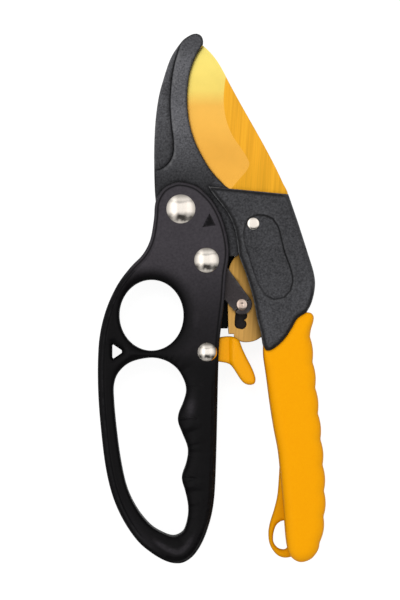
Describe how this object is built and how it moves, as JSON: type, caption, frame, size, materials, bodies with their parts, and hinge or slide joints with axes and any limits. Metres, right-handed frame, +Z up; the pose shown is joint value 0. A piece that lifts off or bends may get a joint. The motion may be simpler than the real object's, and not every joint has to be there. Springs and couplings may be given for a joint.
{
  "type": "ratchet pruning shears",
  "caption": "Ratchet pruning shears with a slotted hook jaw, ground steel blade, finger-guard squeeze handle, swinging link, lock lever and scalloped grip with a hanging eye.",
  "frame": {"origin": "under the middle of the closed tool's bounding box, on the surface it lies on", "axes": "+X across the tool from the finger guard towards the scalloped grip, +Y along the tool towards the tip of the jaws, +Z up through its thickness"},
  "size_m": [0.0886, 0.206, 0.018],
  "materials": {
    "frame": "fine textured powder coat",
    "grip": "smooth moulded orange, satin",
    "nickel": "polished nickel plate",
    "spring_steel": "drawn wire",
    "gold_steel": "gold coated, ground lengthwise on the flat",
    "handle": "smooth satin black",
    "link": "dark coated steel",
    "lever": "smooth moulded orange"
  },
  "bodies": {
    "frame": {"frame_front": "frame", "frame_rear": "frame", "grip_sleeve": "grip", "pivot_pin": "nickel", "blade_washers": "nickel", "return_spring": "spring_steel"},
    "blade": {"blade": "gold_steel"},
    "handle": {"squeeze_handle": "handle", "handle_rivet": "nickel", "link_rivet": "nickel", "lock_rivet": "nickel", "handle_washers": "nickel"},
    "link": {"link_front": "link", "link_rear": "link", "link_pin": "nickel", "link_spacer": "nickel", "link_washers": "nickel", "link_spring": "spring_steel"},
    "lock": {"lock_lever": "lever", "lock_washers": "nickel"}
  },
  "joints": [
    {"name": "handle_squeeze", "type": "hinge", "parent": "frame", "child": "handle", "pos_m": [-0.01197, 0.0347, 0.009], "axis": [0, 0, -1], "range_deg": [0, 37.6]},
    {"name": "blade_swing", "type": "hinge", "parent": "frame", "child": "blade", "pos_m": [0.01613, 0.029, 0.009], "axis": [0, 0, -1], "range_deg": [0, 22]},
    {"name": "link_swing", "type": "hinge", "parent": "handle", "child": "link", "pos_m": [-0.00197, 0.0148, 0.009], "axis": [0, 0, -1], "range_deg": [-34.3, 0]},
    {"name": "lock_swing", "type": "hinge", "parent": "handle", "child": "lock", "pos_m": [-0.00177, -0.0209, 0.009], "axis": [0, 0, 1], "range_deg": [0, 12]}
  ],
  "couplings": [
    {"joint": "blade_swing", "follows": "handle_squeeze", "ratio": 0.585},
    {"joint": "link_swing", "follows": "handle_squeeze", "ratio": -0.912}
  ]
}
